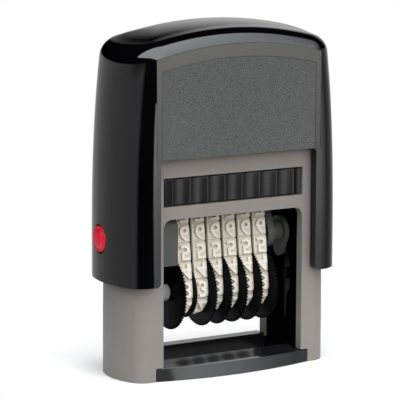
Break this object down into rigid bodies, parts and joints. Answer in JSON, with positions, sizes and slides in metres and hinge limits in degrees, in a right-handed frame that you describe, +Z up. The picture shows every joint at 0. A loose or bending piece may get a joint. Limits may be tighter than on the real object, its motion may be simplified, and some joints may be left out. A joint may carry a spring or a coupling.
{
  "type": "numbering machine",
  "caption": "Self-inking numbering stamp: a press-down cap turns a block of number belts from the ink pad to the paper, with toothed wheels to set each digit.",
  "frame": {"origin": "middle of the foot on the paper", "axes": "+X along the row of numbers to the right, +Y to the back, +Z up along the cap's stroke"},
  "size_m": [0.0514, 0.0206, 0.07],
  "materials": {
    "cap_black": "gloss black moulding",
    "base_grey": "satin warm grey moulding",
    "foot_black": "gloss black moulding",
    "inner_black": "satin black moulding",
    "label_grey": "dark grey film with a fine speckle",
    "rim_grey": "satin grey moulding",
    "button_red": "gloss red moulding",
    "belt_ivory": "ivory rubber",
    "wheel_black": "satin black moulding",
    "steel": "plain bright steel",
    "core_grey": "olive grey moulding",
    "felt": "inked felt"
  },
  "bodies": {
    "base": {"base_housing": "base_grey", "foot_frame": "foot_black", "left_guide_plate": "inner_black", "right_guide_plate": "inner_black", "return_spring": "steel"},
    "cartridge": {"ink_cartridge": "foot_black", "ink_pad": "felt"},
    "cap": {"cap_shell": "cap_black", "front_label_frame": "rim_grey", "front_label_panel": "label_grey", "rear_label_frame": "rim_grey", "rear_label_panel": "label_grey", "carrier_bow": "inner_black", "pivot_shaft": "steel"},
    "left_button": {"left_lock_button": "button_red"},
    "right_button": {"right_lock_button": "button_red"},
    "die_block": {"left_cheek": "inner_black", "right_cheek": "inner_black", "platen_core": "core_grey", "wheel_axle": "steel", "tie_rod": "steel", "number_belt_1": "belt_ivory", "number_belt_2": "belt_ivory", "number_belt_3": "belt_ivory", "number_belt_4": "belt_ivory", "number_belt_5": "belt_ivory", "number_belt_6": "belt_ivory"},
    "wheel_1": {"setting_wheel_1": "wheel_black"},
    "wheel_2": {"setting_wheel_2": "wheel_black"},
    "wheel_3": {"setting_wheel_3": "wheel_black"},
    "wheel_4": {"setting_wheel_4": "wheel_black"},
    "wheel_5": {"setting_wheel_5": "wheel_black"},
    "wheel_6": {"setting_wheel_6": "wheel_black"}
  },
  "joints": [
    {"name": "cap_slide", "type": "slide", "parent": "base", "child": "cap", "axis": [0, 0, -1], "range_m": [0, 0.0174], "stiffness_N_per_m": 400, "springref_m": -0.012, "deforming": ["return_spring"]},
    {"name": "die_turn", "type": "hinge", "parent": "cap", "child": "die_block", "pos_m": [0, 0, 0.026], "axis": [-1, 0, 0], "range_deg": [0, 180]},
    {"name": "cartridge_slide", "type": "slide", "parent": "base", "child": "cartridge", "axis": [0, -1, 0], "range_m": [0, 0.019]},
    {"name": "left_button_press", "type": "slide", "parent": "cap", "child": "left_button", "axis": [1, 0, 0], "range_m": [0, 0.0004], "stiffness_N_per_m": 200, "springref_m": -0.001},
    {"name": "right_button_press", "type": "slide", "parent": "cap", "child": "right_button", "axis": [-1, 0, 0], "range_m": [0, 0.0004], "stiffness_N_per_m": 200, "springref_m": -0.001},
    {"name": "wheel_1_turn", "type": "hinge", "parent": "die_block", "child": "wheel_1", "pos_m": [0, 0, 0.016], "axis": [1, 0, 0], "continuous": true},
    {"name": "wheel_2_turn", "type": "hinge", "parent": "die_block", "child": "wheel_2", "pos_m": [0, 0, 0.016], "axis": [1, 0, 0], "continuous": true},
    {"name": "wheel_3_turn", "type": "hinge", "parent": "die_block", "child": "wheel_3", "pos_m": [0, 0, 0.016], "axis": [1, 0, 0], "continuous": true},
    {"name": "wheel_4_turn", "type": "hinge", "parent": "die_block", "child": "wheel_4", "pos_m": [0, 0, 0.016], "axis": [1, 0, 0], "continuous": true},
    {"name": "wheel_5_turn", "type": "hinge", "parent": "die_block", "child": "wheel_5", "pos_m": [0, 0, 0.016], "axis": [1, 0, 0], "continuous": true},
    {"name": "wheel_6_turn", "type": "hinge", "parent": "die_block", "child": "wheel_6", "pos_m": [0, 0, 0.016], "axis": [1, 0, 0], "continuous": true}
  ],
  "couplings": [
    {"joint": "die_turn", "follows": "cap_slide", "rad_per_m": 180.55}
  ]
}
